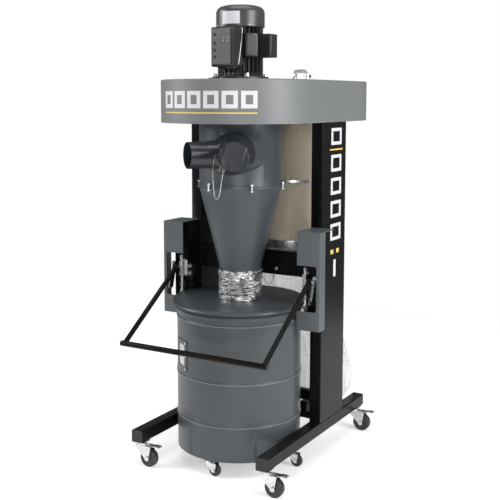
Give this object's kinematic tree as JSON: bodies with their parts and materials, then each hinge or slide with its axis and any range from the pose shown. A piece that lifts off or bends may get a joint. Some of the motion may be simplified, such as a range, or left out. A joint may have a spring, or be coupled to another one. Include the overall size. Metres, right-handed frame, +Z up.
{
  "type": "two-stage cyclone dust collector",
  "caption": "Wheeled two-stage cyclone dust collector: motor and blower housing on posts, cyclone over a roll-out drum with a lifting lid, pleated filter and bag behind.",
  "frame": {"origin": "middle of the footprint, on the floor", "axes": "+Z up, +X to the operator's right, -Y to the front where the inlet and the handle are"},
  "size_m": [0.745, 1.1804, 1.832],
  "materials": {
    "black_frame": "glossy black powder coat",
    "end_plug": "black moulded plastic",
    "grey_housing": "light grey powder coat, fine texture",
    "grey_cyclone": "dark blue-grey powder coat, fine texture",
    "black_plastic": "black moulded plastic with a dull sheen",
    "wire": "bright stranded wire",
    "bright_band": "crinkled bright foil band",
    "hose": "clear ribbed hose with a steel helix",
    "soft_rubber": "black rubber",
    "galvanised": "bright zinc plate",
    "wheel_black": "black moulded wheel",
    "clear_pane": "clear acrylic pane",
    "motor_black": "semi-gloss black paint on castings",
    "shaft_steel": "turned steel",
    "impeller_alloy": "cast aluminium",
    "filter_media": "off-white pleated media behind expanded metal",
    "clear_bag": "clear plastic film, creased"
  },
  "bodies": {
    "stand": {"leg_left": "black_frame", "leg_right": "black_frame", "leg_end_caps": "end_plug", "post_left": "black_frame", "post_right": "black_frame", "filter_beam": "black_frame", "crossbars": "black_frame", "housing_shell": "grey_housing", "housing_floor": "grey_housing", "cyclone_barrel": "grey_cyclone", "cyclone_cone": "grey_cyclone", "inlet_wye": "grey_cyclone", "cap_lanyard": "wire", "hose_band_upper": "bright_band", "flex_hose": "hose", "caster_plates": "galvanised", "motor_body": "motor_black", "fan_cover": "motor_black", "capacitor_covers": "black_plastic", "switch_box": "black_plastic", "switch_lead": "soft_rubber", "filter_element": "filter_media", "filter_pan": "galvanised", "dust_bag": "clear_bag", "side_covers": "grey_cyclone", "lift_guides": "galvanised", "fasteners": "galvanised"},
    "cap": {"port_cap": "black_plastic"},
    "lid": {"lid": "grey_cyclone", "lid_gasket": "soft_rubber", "hose_band_lower": "bright_band", "lift_rods": "galvanised"},
    "handle": {"handle_bail": "black_frame"},
    "toggles": {"toggle_links": "galvanised"},
    "drum": {"drum": "grey_cyclone", "sight_window": "clear_pane", "window_frame": "galvanised"},
    "rotor": {"motor_shaft": "shaft_steel", "impeller": "impeller_alloy"},
    "crank": {"filter_crank": "galvanised"},
    "frame_fork_1": {"caster_fork_1": "galvanised"},
    "frame_wheel_1": {"caster_wheel_1": "wheel_black"},
    "pedal_1": {"brake_pedal_1": "galvanised"},
    "frame_fork_2": {"caster_fork_2": "galvanised"},
    "frame_wheel_2": {"caster_wheel_2": "wheel_black"},
    "pedal_2": {"brake_pedal_2": "galvanised"},
    "frame_fork_3": {"caster_fork_3": "galvanised"},
    "frame_wheel_3": {"caster_wheel_3": "wheel_black"},
    "pedal_3": {"brake_pedal_3": "galvanised"},
    "frame_fork_4": {"caster_fork_4": "galvanised"},
    "frame_wheel_4": {"caster_wheel_4": "wheel_black"},
    "pedal_4": {"brake_pedal_4": "galvanised"},
    "small_fork_1": {"drum_fork_1": "galvanised"},
    "small_wheel_1": {"drum_wheel_1": "wheel_black"},
    "small_fork_2": {"drum_fork_2": "galvanised"},
    "small_wheel_2": {"drum_wheel_2": "wheel_black"},
    "small_fork_3": {"drum_fork_3": "galvanised"},
    "small_wheel_3": {"drum_wheel_3": "wheel_black"},
    "small_fork_4": {"drum_fork_4": "galvanised"},
    "small_wheel_4": {"drum_wheel_4": "wheel_black"}
  },
  "joints": [
    {"name": "cap_pull", "type": "slide", "parent": "stand", "child": "cap", "axis": [0.6088, -0.7934, 0], "range_m": [0, 0.06]},
    {"name": "handle_swing", "type": "hinge", "parent": "stand", "child": "handle", "pos_m": [-0.0075, -0.19888, 0.762], "axis": [-1, 0, 0], "range_deg": [0, 77]},
    {"name": "lid_lift", "type": "slide", "parent": "stand", "child": "lid", "axis": [0, 0, 1], "range_m": [0, 0.03], "deforming": ["flex_hose"]},
    {"name": "toggle_swing", "type": "hinge", "parent": "handle", "child": "toggles", "pos_m": [-0.0075, -0.22588, 0.681], "axis": [-1, 0, 0], "range_deg": [-28.3, 0]},
    {"name": "drum_roll", "type": "slide", "parent": "stand", "child": "drum", "axis": [0, -1, 0], "range_m": [0, 0.09]},
    {"name": "rotor_spin", "type": "hinge", "parent": "stand", "child": "rotor", "pos_m": [-0.0075, -0.19888, 1.5], "axis": [0, 0, 1], "continuous": true},
    {"name": "crank_turn", "type": "hinge", "parent": "stand", "child": "crank", "pos_m": [-0.0075, 0.27112, 1.543], "axis": [0, 0, 1], "continuous": true},
    {"name": "caster_swivel_1", "type": "hinge", "parent": "stand", "child": "frame_fork_1", "pos_m": [-0.2935, -0.50088, 0.098], "axis": [0, 0, 1], "continuous": true},
    {"name": "caster_roll_1", "type": "hinge", "parent": "frame_fork_1", "child": "frame_wheel_1", "pos_m": [-0.2535, -0.50088, 0.0375], "axis": [0, 1, 0], "continuous": true},
    {"name": "brake_press_1", "type": "hinge", "parent": "frame_fork_1", "child": "pedal_1", "pos_m": [-0.2655, -0.50088, 0.081], "axis": [0, 1, 0], "range_deg": [0, 10]},
    {"name": "caster_swivel_2", "type": "hinge", "parent": "stand", "child": "frame_fork_2", "pos_m": [0.2785, -0.50088, 0.098], "axis": [0, 0, 1], "continuous": true},
    {"name": "caster_roll_2", "type": "hinge", "parent": "frame_fork_2", "child": "frame_wheel_2", "pos_m": [0.3185, -0.50088, 0.0375], "axis": [0, 1, 0], "continuous": true},
    {"name": "brake_press_2", "type": "hinge", "parent": "frame_fork_2", "child": "pedal_2", "pos_m": [0.3065, -0.50088, 0.081], "axis": [0, 1, 0], "range_deg": [0, 10]},
    {"name": "caster_swivel_3", "type": "hinge", "parent": "stand", "child": "frame_fork_3", "pos_m": [-0.2935, 0.31612, 0.098], "axis": [0, 0, 1], "continuous": true},
    {"name": "caster_roll_3", "type": "hinge", "parent": "frame_fork_3", "child": "frame_wheel_3", "pos_m": [-0.2535, 0.31612, 0.0375], "axis": [0, 1, 0], "continuous": true},
    {"name": "brake_press_3", "type": "hinge", "parent": "frame_fork_3", "child": "pedal_3", "pos_m": [-0.2655, 0.31612, 0.081], "axis": [0, 1, 0], "range_deg": [0, 10]},
    {"name": "caster_swivel_4", "type": "hinge", "parent": "stand", "child": "frame_fork_4", "pos_m": [0.2785, 0.31612, 0.098], "axis": [0, 0, 1], "continuous": true},
    {"name": "caster_roll_4", "type": "hinge", "parent": "frame_fork_4", "child": "frame_wheel_4", "pos_m": [0.3185, 0.31612, 0.0375], "axis": [0, 1, 0], "continuous": true},
    {"name": "brake_press_4", "type": "hinge", "parent": "frame_fork_4", "child": "pedal_4", "pos_m": [0.3065, 0.31612, 0.081], "axis": [0, 1, 0], "range_deg": [0, 10]},
    {"name": "drum_swivel_1", "type": "hinge", "parent": "drum", "child": "small_fork_1", "pos_m": [0.23235, -0.2005, 0.06], "axis": [0, 0, 1], "continuous": true},
    {"name": "drum_wheel_roll_1", "type": "hinge", "parent": "small_fork_1", "child": "small_wheel_1", "pos_m": [0.25635, -0.2005, 0.025], "axis": [0, 1, 0], "continuous": true},
    {"name": "drum_swivel_2", "type": "hinge", "parent": "drum", "child": "small_fork_2", "pos_m": [-0.01588, 0.03097, 0.06], "axis": [0, 0, 1], "continuous": true},
    {"name": "drum_wheel_roll_2", "type": "hinge", "parent": "small_fork_2", "child": "small_wheel_2", "pos_m": [0.00812, 0.03097, 0.025], "axis": [0, 1, 0], "continuous": true},
    {"name": "drum_swivel_3", "type": "hinge", "parent": "drum", "child": "small_fork_3", "pos_m": [-0.24735, -0.21726, 0.06], "axis": [0, 0, 1], "continuous": true},
    {"name": "drum_wheel_roll_3", "type": "hinge", "parent": "small_fork_3", "child": "small_wheel_3", "pos_m": [-0.22335, -0.21726, 0.025], "axis": [0, 1, 0], "continuous": true},
    {"name": "drum_swivel_4", "type": "hinge", "parent": "drum", "child": "small_fork_4", "pos_m": [0.00088, -0.44873, 0.06], "axis": [0, 0, 1], "continuous": true},
    {"name": "drum_wheel_roll_4", "type": "hinge", "parent": "small_fork_4", "child": "small_wheel_4", "pos_m": [0.02488, -0.44873, 0.025], "axis": [0, 1, 0], "continuous": true}
  ],
  "couplings": [
    {"joint": "lid_lift", "follows": "handle_swing", "m_per_rad": 0.02232},
    {"joint": "toggle_swing", "follows": "handle_swing", "ratio": -0.366}
  ]
}
